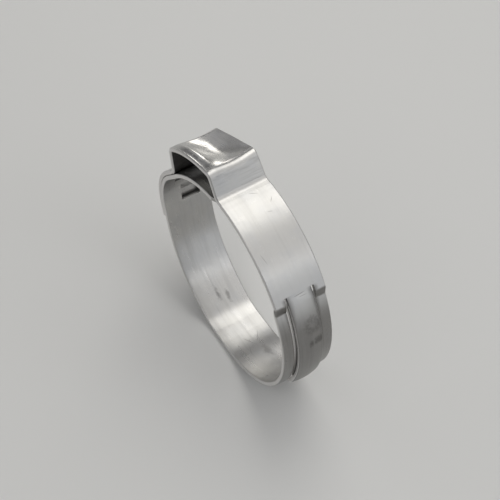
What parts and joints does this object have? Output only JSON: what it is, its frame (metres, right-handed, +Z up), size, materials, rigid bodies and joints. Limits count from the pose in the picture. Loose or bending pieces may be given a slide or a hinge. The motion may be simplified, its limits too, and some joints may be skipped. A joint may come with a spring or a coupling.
{
  "type": "ear hose clamp",
  "caption": "Stepless ear clamp: a lapped steel strip ring with a pinch ear, hooked outer end and a raised channel that takes the inner tongue.",
  "frame": {"origin": "centre of the bore, midway along the width of the band", "axes": "+Y along the bore, +Z up with the short flat of the band below and the pinch ear above"},
  "size_m": [0.032, 0.007, 0.0331],
  "materials": {
    "stainless_strip": "satin rolled stainless strip with bright cut edges"
  },
  "bodies": {
    "root": {"clamp_band": "stainless_strip"}
  },
  "joints": []
}
